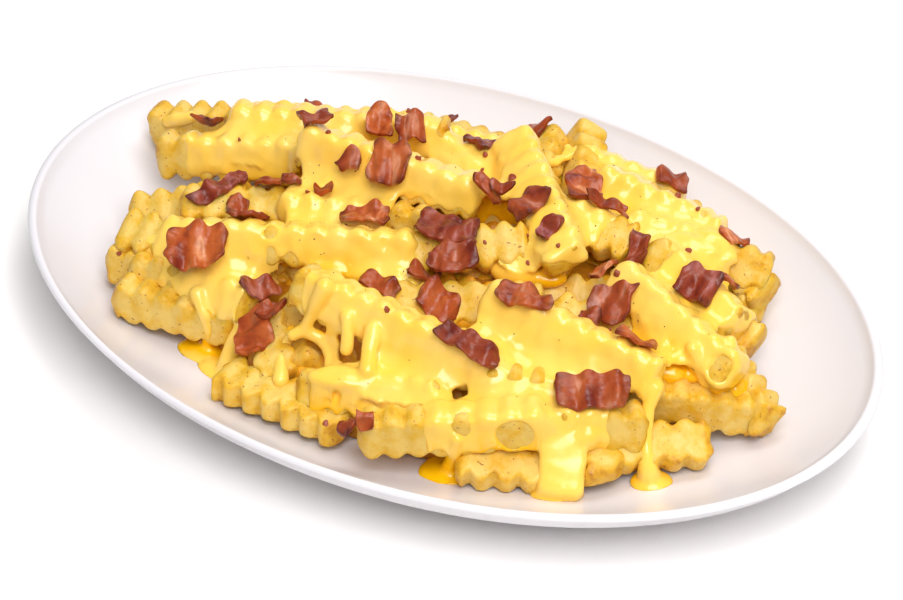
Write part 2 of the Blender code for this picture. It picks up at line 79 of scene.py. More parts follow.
def plain_material(name, colour, roughness):
    material = bpy.data.materials.new(name)
    material.use_nodes = True
    surface = material.node_tree.nodes["Principled BSDF"]
    surface.inputs["Base Color"].default_value = colour
    surface.inputs["Roughness"].default_value = roughness
    return material


def deselect():
    if bpy.context.object and bpy.context.object.mode != "OBJECT":
        bpy.ops.object.mode_set(mode="OBJECT")
    bpy.ops.object.select_all(action="DESELECT")


camera_data = bpy.data.cameras.new("camera")
camera_data.sensor_width = SENSOR
camera_data.lens = CAMERA_LENS
camera = bpy.data.objects.new("camera", camera_data)
bpy.context.scene.collection.objects.link(camera)
camera.location = AIM + direction(CAMERA_TURN, CAMERA_RISE) * CAMERA_AWAY
camera.rotation_euler = direction(CAMERA_TURN, CAMERA_RISE).to_track_quat("Z", "Y").to_euler()
bpy.context.scene.camera = camera

deselect()
bpy.ops.mesh.primitive_plane_add(size=FLOOR_HALF * 2)
table_top = bpy.context.object
table_top.name = "table_top"
table_top.data.materials.append(plain_material("table_white", FLOOR_WHITE, roughness=0.9))

sky = bpy.data.worlds.new("soft_sky")
sky.use_nodes = True
sky.node_tree.nodes["Background"].inputs["Color"].default_value = SKY_WHITE
sky.node_tree.nodes["Background"].inputs["Strength"].default_value = SKY_STRENGTH
bpy.context.scene.world = sky
bpy.context.scene.view_settings.view_transform = "Standard"
bpy.context.scene.view_settings.look = "None"


def soft_light(name, turn, rise, away, size, power):
    """A square panel of light that faces the middle of the dish."""
    data = bpy.data.lights.new(name, "AREA")
    data.size = size
    data.energy = power
    lamp = bpy.data.objects.new(name, data)
    bpy.context.scene.collection.objects.link(lamp)
    back = direction(math.radians(turn), math.radians(rise))
    lamp.location = back * away
    lamp.rotation_euler = back.to_track_quat("Z", "Y").to_euler()


soft_light("window", turn=172, rise=74, away=1.3, size=0.7, power=7.2)
soft_light("front_panel", turn=46, rise=54, away=1.5, size=0.9, power=20)
soft_light("back_panel", turn=200, rise=16, away=2.0, size=1.8, power=6)

# The platter: one oval dish of white glazed porcelain, turned on a wheel and drawn out to an oval, with
# a flat floor, a rim that curves up to a thin rounded lip, and a foot ring under it.
PLATTER_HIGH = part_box("platter")[1] / MM
HALF_LENGTH = PLATTER_HIGH.x
HALF_WIDTH = PLATTER_HIGH.y
FLOOR_TOP = 5.3
FLOOR_SHARE = 0.45
RIM_CURVE = 3.2
WALL = 4.0
LIP_ROUND = 2.0
LIP_SQUASH = 0.6
FOOT_OUTSIDE = 92.0
FOOT_INSIDE = 84.0
UNDER = 1.0
GLAZE_WHITE = (0.78, 0.755, 0.79, 1.0)
GLAZE_CLOUD = ((0.3, (0.765, 0.74, 0.775)), (0.7, (0.80, 0.775, 0.81)))
PLATTER_STEPS = 160
RIM_STEPS = 26
REACH = HALF_LENGTH - 2 * LIP_ROUND
RIM_TOP = PLATTER_HIGH.z - LIP_ROUND * LIP_SQUASH


def rim_height(radius):
    """Height of the dish's inner surface at a radius measured along its length."""
    climb = np.maximum(0.0, radius / REACH - FLOOR_SHARE) / (1.0 - FLOOR_SHARE)
    return FLOOR_TOP + (RIM_TOP - FLOOR_TOP) * climb ** RIM_CURVE


def inside_height(x, y):
    return rim_height(np.minimum(np.hypot(x, y * HALF_LENGTH / HALF_WIDTH), REACH))


def platter_profile():
    inner = [(0.0, FLOOR_TOP), (REACH * FLOOR_SHARE * 0.6, FLOOR_TOP)]
    for step in range(RIM_STEPS + 1):
        radius = REACH * (FLOOR_SHARE + (1.0 - FLOOR_SHARE) * step / RIM_STEPS)
        inner.append((radius, rim_height(radius)))
    lip = []
    for angle in (150, 120, 90, 60, 30, 0, -25, -50):
        across = math.cos(math.radians(angle)) * LIP_ROUND
        rise = math.sin(math.radians(angle)) * LIP_ROUND * LIP_SQUASH
        lip.append((REACH + LIP_ROUND + across, RIM_TOP + rise))
    outer = []
    for before, point, after in zip(inner, inner[1:], inner[2:]):
        tilt = math.atan2(after[1] - before[1], after[0] - before[0])
        wall = (point[0] + WALL * math.sin(tilt), point[1] - WALL * math.cos(tilt))
        if wall[0] > FOOT_OUTSIDE + 2 and wall[0] < REACH + 2.0:
            outer.insert(0, wall)
    foot = [(FOOT_OUTSIDE, UNDER), (FOOT_OUTSIDE - 0.5, 0.3), (FOOT_OUTSIDE - 1.5, 0.0),
            (FOOT_INSIDE + 0.6, 0.0), (FOOT_INSIDE - 0.6, 0.3), (FOOT_INSIDE - 1.5, UNDER)]
    return inner + lip + outer + foot + [(0.0, UNDER)]


def pick(piece):
    """Make a piece the only one selected."""
    deselect()
    bpy.context.view_layer.objects.active = piece
    piece.select_set(True)


def tidy_shell(piece):
    """Merge what meets, and turn every face outward."""
    pick(piece)
    bpy.ops.object.mode_set(mode="EDIT")
    bpy.ops.mesh.select_all(action="SELECT")
    bpy.ops.mesh.remove_doubles(threshold=1e-6)
    bpy.ops.mesh.normals_make_consistent(inside=False)
    bpy.ops.object.mode_set(mode="OBJECT")


def add_noise(material, scale, detail=2.0, roughness=0.5, uv_map=None):
    """Cloudy noise over the piece's own coordinates, or over a UV map of it."""
    nodes, links = material.node_tree.nodes, material.node_tree.links
    cloud = nodes.new("ShaderNodeTexNoise")
    cloud.inputs["Scale"].default_value = scale
    cloud.inputs["Detail"].default_value = detail
    cloud.inputs["Roughness"].default_value = roughness
    if uv_map:
        place = nodes.new("ShaderNodeUVMap")
        place.uv_map = uv_map
        links.new(place.outputs["UV"], cloud.inputs["Vector"])
    else:
        place = nodes.new("ShaderNodeTexCoord")
        links.new(place.outputs["Object"], cloud.inputs["Vector"])
    return cloud.outputs["Fac"]


def add_ramp(material, source, stops):
    """Colours for a value, given as positions with their colours, from the lowest to the highest."""
    ramp = material.node_tree.nodes.new("ShaderNodeValToRGB")
    ends = ramp.color_ramp.elements
    ends[0].position, ends[1].position = stops[0][0], stops[-1][0]
    ends[0].color, ends[1].color = (*stops[0][1], 1.0), (*stops[-1][1], 1.0)
    for position, colour in stops[1:-1]:
        ends.new(position).color = (*colour, 1.0)
    material.node_tree.links.new(source, ramp.inputs["Fac"])
    return ramp.outputs["Color"]


def add_bump(material, source, strength, distance):
    nodes, links = material.node_tree.nodes, material.node_tree.links
    bump = nodes.new("ShaderNodeBump")
    bump.inputs["Strength"].default_value = strength
    bump.inputs["Distance"].default_value = distance
    links.new(source, bump.inputs["Height"])
    links.new(bump.outputs["Normal"], nodes["Principled BSDF"].inputs["Normal"])


def set_surface(material, colour, **values):
    """Link the base colour, and set other inputs by their names, with underscores for the spaces."""
    surface = material.node_tree.nodes["Principled BSDF"]
    material.node_tree.links.new(colour, surface.inputs["Base Color"])
    for name, value in values.items():
        surface.inputs[name.replace("_", " ")].default_value = value


def white_glaze():
    material = plain_material("white_glaze", GLAZE_WHITE, roughness=0.28)
    tint = add_ramp(material, add_noise(material, scale=9.0, detail=3.0), GLAZE_CLOUD)
    set_surface(material, tint, Coat_Weight=0.2, Coat_Roughness=0.15)
    add_bump(material, add_noise(material, scale=60.0), strength=0.04, distance=0.0006)
    return material


outline = bpy.data.meshes.new("oval_platter")
profile = [(radius * MM, 0.0, height * MM) for radius, height in platter_profile()]
outline.from_pydata(profile, [(i, i + 1) for i in range(len(profile) - 1)], [])
oval_platter = bpy.data.objects.new("oval_platter", outline)
bpy.context.scene.collection.objects.link(oval_platter)
pick(oval_platter)
turned = oval_platter.modifiers.new("turned", "SCREW")
turned.steps = PLATTER_STEPS
turned.render_steps = PLATTER_STEPS
turned.use_merge_vertices = True
turned.merge_threshold = 1e-6
bpy.ops.object.modifier_apply(modifier=turned.name)
oval_platter.scale = (1.0, HALF_WIDTH / HALF_LENGTH, 1.0)
bpy.ops.object.transform_apply(location=False, rotation=False, scale=True)
tidy_shell(oval_platter)
bpy.ops.object.shade_smooth()
oval_platter.data.materials.append(white_glaze())
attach(oval_platter, "root")
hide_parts("platter")

# The fries: square bars of potato, cut with a waved blade that leaves ridges on two faces, and fried
# pale gold with browner edges. They lie as they fell, with the largest on top.
FRY_WIDTH = 14.0
FRY_DEPTH = 11.0
SIZE_SPREAD = (0.88, 1.07)
RIDGE_PITCH = 7.8
RIDGE_DEPTH = 1.5
RIDGE_SPREAD = (0.6, 1.0)
RIDGE_ROUND = 0.38
FACE_RIPPLE = 0.30
BEND = 1.2
CORNER_POWER = 6.5
END_ROUND = 2.2
END_SHRINK = 0.26
END_BULGE = 0.9
END_INSETS = (0.25, 0.3)
END_ROUGH = 1.1
TIP_LENGTH = 4.0
BROWN_CREST = 0.18
# Painted shade: how much the valleys between the ridges are darkened, on the same ramp as the browning.
VALLEY_SHADE = 0.30
BROWN_CORNER = 0.36
BROWN_TIP = 0.30
FRY_SIDES = 28
RING_STEP = 1.12
FRY_CLEAR = 0.3
UNEVEN = 0.45
UNEVEN_SCALE = 7.0

# Every fry that shows, from the plate up: one end, the other end, and its turn about its length,
# where 0 has the ridged faces at the sides and 90 has them above and below. Lengths are millimetres.
FRIES = {
    "back_low_left": ((-124, 36, 20), (-72, 54, 18), 30),
    "back_low_mid": ((-92, 60, 16), (-40, 74, 16), 90),
    "back_low_far": ((-62, 79, 15), (-8, 85, 15), 0),
    "back_low_top": ((-20, 88, 17), (38, 86, 15), 60),
    "back_low_right": ((26, 86, 17), (72, 70, 17), 20),
    "right_low_back": ((54, 78, 19), (96, 54, 17), 80),
    "front_low_left": ((-36, -79, 15), (14, -75, 14), 0),
    "left_low_bare": ((-91, -69, 18), (-46, -57, 16), 90),
    "front_low_mid": ((56, -69, 16), (91, -48, 15), 20),
    "front_low_block": ((80, -34, 22), (100, -47, 16), 0),
    "front_low_right": ((92, -38, 17), (119, -14, 16), 30),
    "right_low_tip": ((102, 20, 24), (131, 5, 18), 60),
    "left_tip": ((-106, -55, 22), (-58, -46, 25), 80),
    "left_scalloped": ((-92, -58, 25), (-42, -55, 29), 60),
    "left_edge": ((-116, -30, 22), (-78, -10, 33), 40),
    "front_block": ((-32, -40, 30), (-13, -64, 18), 45),
    "front_block_side": ((-36, -54, 27), (-16, -71, 18), 20),
    "front_covered": ((-6, -74, 21), (42, -60, 29), 50),
    "back_mid_left": ((-110, 31, 30), (-58, 45, 32), 10),
    "back_mid": ((-80, 46, 28), (-30, 63, 30), 60),
    "back_mid_far": ((-44, 63, 30), (12, 71, 31), 30),
    "back_mid_right": ((10, 82, 27), (60, 77, 27), 70),
    "right_mid_back": ((50, 72, 28), (98, 58, 26), 30),
    "right_edge": ((74, 37, 31), (108, 34, 23), 30),
    "right_flat": ((86, -17, 26), (124, 8, 18), 90),
    "left_block": ((-105, -48, 30), (-56, -40, 34), 30),
    "left_bare_end": ((-124, -5, 33), (-60, 19, 40), 75),
    "far_left_bare": ((-144, 15, 27), (-84, 31, 39), 88),
    "front_curtain_left": ((26, -83, 24), (78, -50, 31), 90),
    "front_curtain_right": ((66, -56, 29), (103, -28, 26), 80),
    "front_under": ((50, -48, 33), (84, -30, 31), 70),
    "gap_left": ((-94, -28, 34), (-50, -4, 38), 20),
    "gap_mid": ((-60, -14, 39), (-8, 6, 41), 75),
    "centre_low_left": ((-52, -28, 33), (6, -22, 34), 70),
    "centre_low_right": ((-4, -36, 34), (44, -2, 34), 30),
    "centre_low_far": ((-40, 20, 35), (16, 36, 36), 80),
    "gap_right": ((30, 5, 30), (64, 22, 30), 40),
    "gap_knob": ((50, -6, 35), (84, 6, 30), 20),
    "far_gap": ((-42, 50, 37), (-2, 46, 38), 40),
    "far_top_low": ((10, 72, 39), (48, 80, 32), 60),
    "far_tip_left": ((-8, 78, 41), (8, 44, 37), 30),
    "far_tip_right": ((3, 86, 42), (24, 50, 38), 60),
    "far_covered": ((26, 58, 44), (74, 63, 37), 60),
    "right_bare_end": ((48, 45, 41), (96, 62, 32), 60),
    "right_between": ((62, 38, 41), (104, 27, 33), 40),
    "right_short": ((30, 34, 43), (55, 39, 40), 30),
    "far_left_top": ((-106, 16, 42), (-33, 50, 45), 80),
    "mid_ridged": ((-70, -48, 42), (-2, -13, 44), 65),
    "centre_bare": ((-4, -14, 42), (28, 12, 46), 40),
    "right_strip": ((64, 14, 46), (118, 3, 34), 50),
    "front_large": ((-23, -53, 46), (53, -46, 37), 70),
    "front_large_right": ((36, -24, 48), (100, -18, 38), 60),
    "far_large": ((-8, 56, 50), (47, 7, 49), 30),
    "top_large": ((-67, 8, 52), (2, 19, 50), 70),
}


def frame_along(start, end, turn):
    """A place and direction with X from start to end, turned about that line."""
    along = (end - start).normalized()
    side = Vector((0.0, 0.0, 1.0)).cross(along).normalized()
    above = along.cross(side)
    basis = Matrix((along, side, above)).transposed().to_4x4()
    return Matrix.Translation((start + end) / 2) @ basis @ Matrix.Rotation(math.radians(turn), 4, "X")


def fry_shape(name, start, end, turn):
    """Place, length and the draws that make one fry differ from the next."""
    start, end = Vector(start), Vector(end)
    draw = random.Random(name)
    return {
        "place": frame_along(start, end, turn),
        "length": (end - start).length,
        "width": FRY_WIDTH * draw.uniform(*SIZE_SPREAD),
        "depth": FRY_DEPTH * draw.uniform(*SIZE_SPREAD),
        "mirror": draw.choice((-1, 1)),
        "bend": draw.uniform(-BEND, BEND),
        "seed": draw.uniform(0, 900),
        "ridge": draw.uniform(*RIDGE_SPREAD),
    }


def long_bar(name, sides, rings):
    """A round bar of length 1 and radius 1 along Z, cut across into rings, ready to be pressed to shape."""
    deselect()
    bpy.ops.mesh.primitive_cylinder_add(vertices=sides, radius=1.0, depth=1.0)
    bar = bpy.context.object
    bar.name = name
    bpy.ops.object.mode_set(mode="EDIT")
    bpy.ops.mesh.select_mode(type="EDGE")
    bpy.ops.mesh.select_all(action="DESELECT")
    bpy.ops.object.mode_set(mode="OBJECT")
    co = [v.co for v in bar.data.vertices]
    for edge in bar.data.edges:
        edge.select = abs(co[edge.vertices[0]].z - co[edge.vertices[1]].z) > 0.5
    bpy.ops.object.mode_set(mode="EDIT")
    bpy.ops.mesh.subdivide(number_cuts=rings)
    bpy.ops.mesh.select_mode(type="FACE")
    bpy.ops.mesh.select_all(action="DESELECT")
    bpy.ops.object.mode_set(mode="OBJECT")
    for face in bar.data.polygons:
        face.select = abs(face.normal.z) > 0.5
    bpy.ops.object.mode_set(mode="EDIT")
    for inset in END_INSETS:
        bpy.ops.mesh.inset(thickness=inset)
    bpy.ops.mesh.poke()
    bpy.ops.mesh.select_mode(type="VERT")
    bpy.ops.object.mode_set(mode="OBJECT")
    return bar


def points_of(mesh):
    flat = np.empty(len(mesh.vertices) * 3)
    mesh.vertices.foreach_get("co", flat)
    return flat.reshape(-1, 3)


def set_points(mesh, points):
    mesh.vertices.foreach_set("co", np.ascontiguousarray(points).ravel())
    mesh.update()


def lumps(points, scale, seed):
    """Smooth noise between about -1 and 1 at each point, with lumps of that scale in millimetres."""
    shift = Vector((seed, -seed * 0.7, seed * 0.3))
    return np.array([noise.noise(Vector(p) / scale + shift) for p in points])


def half_waves(length):
    """How many half waves the blade's ridges make along a fry."""
    return max(4, round(length / (RIDGE_PITCH / 2)))


def press_fry(bar, fry, first=0.0, last=1.0, ridge=RIDGE_DEPTH):
    """Press a round bar to a ridged fry, or to part of one. Gives the browning at each point, with painted
    shade added in the valleys between the ridges.
    """
    raw = points_of(bar.data)
    share = first + (raw[:, 2] + 0.5) * (last - first)
    length = fry["length"]
    x = (share - 0.5) * length
    middle = 1.0 - np.hypot(raw[:, 0], raw[:, 1])
    x += np.sign(share - 0.5) * middle * END_BULGE
    power = 2.0 / CORNER_POWER
    across = np.sign(raw[:, 0]) * np.abs(raw[:, 0]) ** power
    above = np.sign(raw[:, 1]) * np.abs(raw[:, 1]) ** power
    reach = np.minimum(share - first, last - share) * length
    close = 1.0 - END_SHRINK * np.clip(1.0 - reach / END_ROUND, 0.0, 1.0) ** 2
    wave = -np.cos(np.pi * share * half_waves(length))
    side = np.clip(across, -1.0, 1.0) if fry["mirror"] > 0 else np.ones_like(across)
    deep = ridge * fry["ridge"]
    y = across * fry["width"] / 2 * close + (wave * side + RIDGE_ROUND * (1.0 - wave ** 2) * across) * deep
    z = above * (fry["depth"] / 2 * close + wave * deep * FACE_RIPPLE)
    z += fry["bend"] * (1 - (2 * share - 1) ** 2)
    points = np.stack([x, y, z], axis=1)
    swell = lumps(points, UNEVEN_SCALE, fry["seed"]) * UNEVEN
    points[:, 1] += across * swell
    points[:, 2] += above * swell
    tip = np.clip(1.0 - reach / TIP_LENGTH, 0.0, 1.0)
    points[:, 0] += tip * lumps(points, TIP_LENGTH, fry["seed"] + 40.0) * END_ROUGH
    outward = wave * np.sign(across) * np.sign(side + 1e-9)
    crest = np.abs(across) ** 3 * np.clip(outward, 0.0, 1.0)
    # Painted shade: the valleys between the ridges are darkened along with the browning.
    valley = np.abs(across) ** 3 * np.clip(-outward, 0.0, 1.0)
    corner = (np.abs(across) * np.abs(above)) ** 3
    browning_and_shade = BROWN_CREST * crest + VALLEY_SHADE * valley + BROWN_CORNER * corner + BROWN_TIP * tip
    world = np.array(fry["place"].to_3x3()) @ points.T
    world = world.T + np.array(fry["place"].translation)
    short = (inside_height(world[:, 0], world[:, 1]) + FRY_CLEAR - world[:, 2]).max()
    if short > 0:
        world[:, 2] += short
    set_points(bar.data, world * MM)
    return np.clip(browning_and_shade, 0.0, 1.0)


def join_pieces(name, pieces):
    deselect()
    for piece in pieces:
        piece.select_set(True)
    bpy.context.view_layer.objects.active = pieces[0]
    bpy.ops.object.join()
    joined = bpy.context.object
    joined.name = name
    bpy.ops.object.transform_apply(location=True, rotation=True, scale=True)
    return joined


def apply_modifier(piece, kind, **settings):
    pick(piece)
    modifier = piece.modifiers.new(kind.lower(), kind)
    for key, value in settings.items():
        setattr(modifier, key, value)
    bpy.ops.object.modifier_apply(modifier=modifier.name)


def lay_fry(name, start, end, turn, sides=FRY_SIDES, step=RING_STEP):
    fry = fry_shape(name, start, end, turn)
    bar = long_bar(name, sides, max(6, round(fry["length"] / step)))
    browning_and_shade = press_fry(bar, fry)
    browned_and_shaded = bar.data.attributes.new("browned_and_shaded", "FLOAT", "POINT")
    browned_and_shaded.data.foreach_set("value", browning_and_shade)
    return bar


def add_attribute(material, name):
    attribute = material.node_tree.nodes.new("ShaderNodeAttribute")
    attribute.attribute_name = name
    return attribute.outputs["Fac"]


def add_math(material, operation, *values, clamp=False):
    """A sum or product of sockets and plain numbers."""
    maths = material.node_tree.nodes.new("ShaderNodeMath")
    maths.operation = operation
    maths.use_clamp = clamp
    for socket, value in zip(maths.inputs, values):
        if isinstance(value, float):
            socket.default_value = value
        else:
            material.node_tree.links.new(value, socket)
    return maths.outputs["Value"]


def add_range(material, source, low, high, most=1.0):
    """A share that climbs from 0 to its most as the source climbs from low to high."""
    share = material.node_tree.nodes.new("ShaderNodeMapRange")
    share.inputs["From Min"].default_value = low
    share.inputs["From Max"].default_value = high
    share.inputs["To Max"].default_value = most
    material.node_tree.links.new(source, share.inputs["Value"])
    return share.outputs["Result"]


def add_mix(material, share, under, colour, blend="MIX"):
    """A plain colour laid over another, as strongly as the share says."""
    links = material.node_tree.links
    mixed = material.node_tree.nodes.new("ShaderNodeMix")
    mixed.data_type = "RGBA"
    mixed.blend_type = blend
    links.new(share, mixed.inputs["Factor"])
    links.new(under, mixed.inputs["A"])
    mixed.inputs["B"].default_value = (*colour, 1.0)
    return mixed.outputs["Result"]


def potato(name, pale, gold, crust):
    """Fried potato, pale on the flat faces and crusty where its browning is strong, with a few dark specks,
    and painted shade in the ridge valleys.
    """
    material = plain_material(name, (*gold, 1.0), roughness=0.42)
    cloud = add_noise(material, scale=150.0, detail=4.0, roughness=0.6)
    blotch = add_math(material, "MULTIPLY_ADD", cloud, BLOTCH_GAIN, BLOTCH_SHIFT)
    depth = add_math(material, "ADD", add_attribute(material, "browned_and_shaded"), blotch, clamp=True)
    fried = add_ramp(material, depth, ((0.05, pale), (0.5, gold), (0.95, crust)))
    speckled = add_range(material, add_noise(material, scale=700.0, detail=1.0), low=0.70, high=0.76)
    set_surface(material, add_mix(material, speckled, fried, SPECK_BROWN), Specular_IOR_Level=0.4,
                Subsurface_Weight=0.25, Subsurface_Radius=(1.0, 0.55, 0.2), Subsurface_Scale=0.003)
    add_bump(material, add_noise(material, scale=420.0, detail=5.0), strength=0.7, distance=0.0007)
    return material


BLOTCH_GAIN = 2.2
BLOTCH_SHIFT = -0.95
SPECK_BROWN = (0.36, 0.14, 0.03)
PALE = (0.78, 0.54, 0.125)
GOLD = (0.74, 0.43, 0.025)
CRUST = (0.52, 0.22, 0.008)
bars = [lay_fry(name, *row) for name, row in FRIES.items()]
top_fries = join_pieces("crinkle_fries", bars)
top_fries.data.materials.append(potato("fried_potato", PALE, GOLD, CRUST))
bpy.ops.object.shade_smooth()
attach(top_fries, "root")
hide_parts("fries_heap")

# The fries beneath: more of the same fries fill the heap and show only in the gaps between the upper
# ones. In the middle, where nothing can be seen, they are one loaf. Both are coloured darker than the upper
# fries, as painted shade for the gaps.
MOUND_LENGTH = 216.0
MOUND_WIDTH = 150.0
MOUND_HEIGHT = 31.0
MOUND_EDGE = 2.0
MOUND_SHAPE = 3.2
UNDER_FRIES = 64
UNDER_SIDES = 22
UNDER_STEP = 1.4
UNDER_SINK = 4.5
UNDER_REACH = (100, 70)
UNDER_HEADING = (22, 24)
UNDER_HALF = (22, 38)
UNDER_TURNS = (10, 35, 60, 80)
UNDER_TILT = 1.5
UNDER_MOST = 0.93
# Painted shade: darker, deeper orange copies of the potato colours for the fries that show only in the
# shaded gaps.
SHADED_PALE = (0.80, 0.43, 0.018)
SHADED_GOLD = (0.70, 0.29, 0.006)
LOAF_SINK = 3.0
LOAF_SHARE = 0.94
LOAF_WAIST = 0.4
LOAF_LEAST = 0.5
# Painted shade: the loaf's deep browns stand for the darkness of the deepest gaps between the fries.
LOAF_SHADE_COLOURS = ((0.52, 0.20, 0.008), (0.42, 0.13, 0.004), (0.28, 0.07, 0.003))


def mound_top(x, y):
    share = np.minimum(1.0, np.hypot(x / (MOUND_LENGTH / 2), y / (MOUND_WIDTH / 2)))
    return MOUND_EDGE + (MOUND_HEIGHT - MOUND_EDGE) * (1.0 - share ** MOUND_SHAPE) + inside_height(x, y)


def inside_mound(x, y):
    return math.hypot(x / (MOUND_LENGTH / 2), y / (MOUND_WIDTH / 2)) < UNDER_MOST


fill = random.Random(41)
beneath = []
while len(beneath) < UNDER_FRIES:
    x, y = [fill.uniform(-reach, reach) for reach in UNDER_REACH]
    heading = math.radians(fill.gauss(*UNDER_HEADING))
    half = fill.uniform(*UNDER_HALF)
    step_x, step_y = math.cos(heading) * half, math.sin(heading) * half
    ends = [(x - step_x, y - step_y), (x + step_x, y + step_y)]
    if not all(inside_mound(ex, ey) for ex, ey in ends):
        continue
    level = min(float(mound_top(ex, ey)) for ex, ey in ends + [(x, y)]) - UNDER_SINK
    rows = [(ex, ey, level + fill.uniform(-UNDER_TILT, UNDER_TILT)) for ex, ey in ends]
    beneath.append(lay_fry("under_%02d" % len(beneath), *rows, fill.choice(UNDER_TURNS),
                           UNDER_SIDES, UNDER_STEP))
under_fries = join_pieces("fries_beneath", beneath)
under_fries.data.materials.append(potato("shaded_potato", SHADED_PALE, SHADED_GOLD, CRUST))
bpy.ops.object.shade_smooth()
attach(under_fries, "root")
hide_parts("fries_heap")

deselect()
bpy.ops.mesh.primitive_uv_sphere_add(segments=48, ring_count=24, radius=1.0)
loaf = bpy.context.object
loaf.name = "hidden_loaf"
round_points = points_of(loaf.data)
plan_x = round_points[:, 0] * MOUND_LENGTH / 2 * LOAF_SHARE
plan_y = round_points[:, 1] * MOUND_WIDTH / 2 * LOAF_SHARE
floor_z = inside_height(plan_x, plan_y) + FRY_CLEAR
crown = np.maximum(floor_z + LOAF_LEAST, mound_top(plan_x, plan_y) - LOAF_SINK)
lower_z = np.where(round_points[:, 2] > -1e-4, floor_z + LOAF_WAIST, floor_z)
loaf_z = np.where(round_points[:, 2] > 1e-4, crown, lower_z)
set_points(loaf.data, np.stack([plan_x, plan_y, loaf_z], axis=1) * MM)
# Painted shade: the loaf is coloured deep brown.
loaf.data.materials.append(potato("potato_in_painted_shade", *LOAF_SHADE_COLOURS))
bpy.ops.object.shade_smooth()
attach(loaf, "root")
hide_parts("fries_heap")

# The cheese sauce: thick warm processed-cheese sauce, poured over the heap from above. It coats the upper
# side of the fries, bridges the gaps between them, runs down in strands and pools on the platter.

# What the sauce coats: a fry, the share of its length where the coat begins and ends, and how far down
# its sides the coat hangs.
COATS = (
    ("far_left_top", 0.0, 0.94, 5),
    ("far_left_bare", 0.62, 1.0, 4),
    ("left_bare_end", 0.16, 1.0, 6),
    ("top_large", 0.0, 1.02, 4),
    ("gap_mid", 0.0, 0.75, 2),
    ("mid_ridged", -0.02, 1.02, 2),
    ("left_block", 0.34, 1.0, 4),
    ("left_scalloped", 0.45, 1.0, 6),
    ("front_large", 0.06, 1.0, 5),
    ("front_large_right", -0.03, 1.02, 5),
    ("front_curtain_left", 0.34, 1.0, 6),
    ("front_curtain_right", 0.0, 0.74, 6),
    ("front_covered", 0.1, 1.0, 4),
    ("right_edge", 0.3, 0.9, 3),
    ("right_bare_end", 0.0, 0.5, 2),
    ("right_strip", -0.03, 1.04, 4),
    ("right_between", 0.2, 1.0, 4),
    ("far_covered", 0.0, 1.0, 4),
    ("far_top_low", 0.0, 1.0, 4),
    ("far_large", 0.0, 1.02, 3),
    ("right_short", 0.0, 0.6, 3),
    ("far_gap", 0.0, 0.7, 3),
    ("centre_low_left", 0.0, 1.0, 1),
    ("centre_low_far", 0.0, 1.0, 1),
    ("back_mid_left", 0.0, 1.0, 3),
    ("back_mid_far", 0.0, 1.0, 3),
    ("right_mid_back", 0.0, 0.7, 3),
)

# Where it pooled between the fries: the middle, the three half sizes and the turn.
POOLS = (
    ((-66, -52, 31), (24, 11, 5), 12),
    ((-83, -44, 34), (13, 9, 5), 10),
    ((24, -64, 30), (22, 9, 6), 30),
    ((62, -42, 34), (20, 10, 5), 30),
    ((90, -40, 26), (9, 6, 8), 40),
    ((88, 32, 37), (16, 9, 5), -20),
    ((66, 50, 41), (20, 9, 5), 15),
    ((-14, 44, 44), (15, 7, 4), -10),
    ((30, 10, 38), (14, 9, 5), 20),
    ((94, -2, 31), (16, 8, 5), 10),
    ((-20, -24, 38), (18, 8, 5), 20),
)

VOXEL = 0.85
SAUCE_ON_TOP = 1.1
SAUCE_ON_SIDE = 0.6
SAUCE_HIDDEN = 2.2
SAUCE_RIDGE = 1.15
EDGE_SOFT = 1.3
VALLEY_RUN = 1.5
POOL_LUMPS = 8
COAT_SIDES = 44
COAT_STEP = 0.9
POOL_SINK = 2.4
POOL_ASIDE = 0.6
POOL_SIZE = (0.4, 0.7)
POOL_EDGE = 1.2
POOL_FADE = 0.25
COAT_ASIDE = 10.5
COAT_DEEP = 11.0
COAT_SWAY = 2.6
END_SWAY = 2.0
BARE_SWAY = 0.6
LEAST_CLEAR = 0.05
HIGHEST = cad_box[1][2] / MM - LEAST_CLEAR

# Places where a crest of potato stands clear of the sauce: the middle and the radius.
BARE = (
    ((-45, -40, 51), 3.0), ((-29, -34, 50), 3.2), ((-7, -23, 50), 3.2), ((59, -71, 35), 4.6),
    ((84, -52, 36), 3.6), ((101, -36, 31), 5.6), ((24, -73, 33), 3.6), ((114, -3, 40), 4.5),
    ((73, -61, 30), 5.0),
)

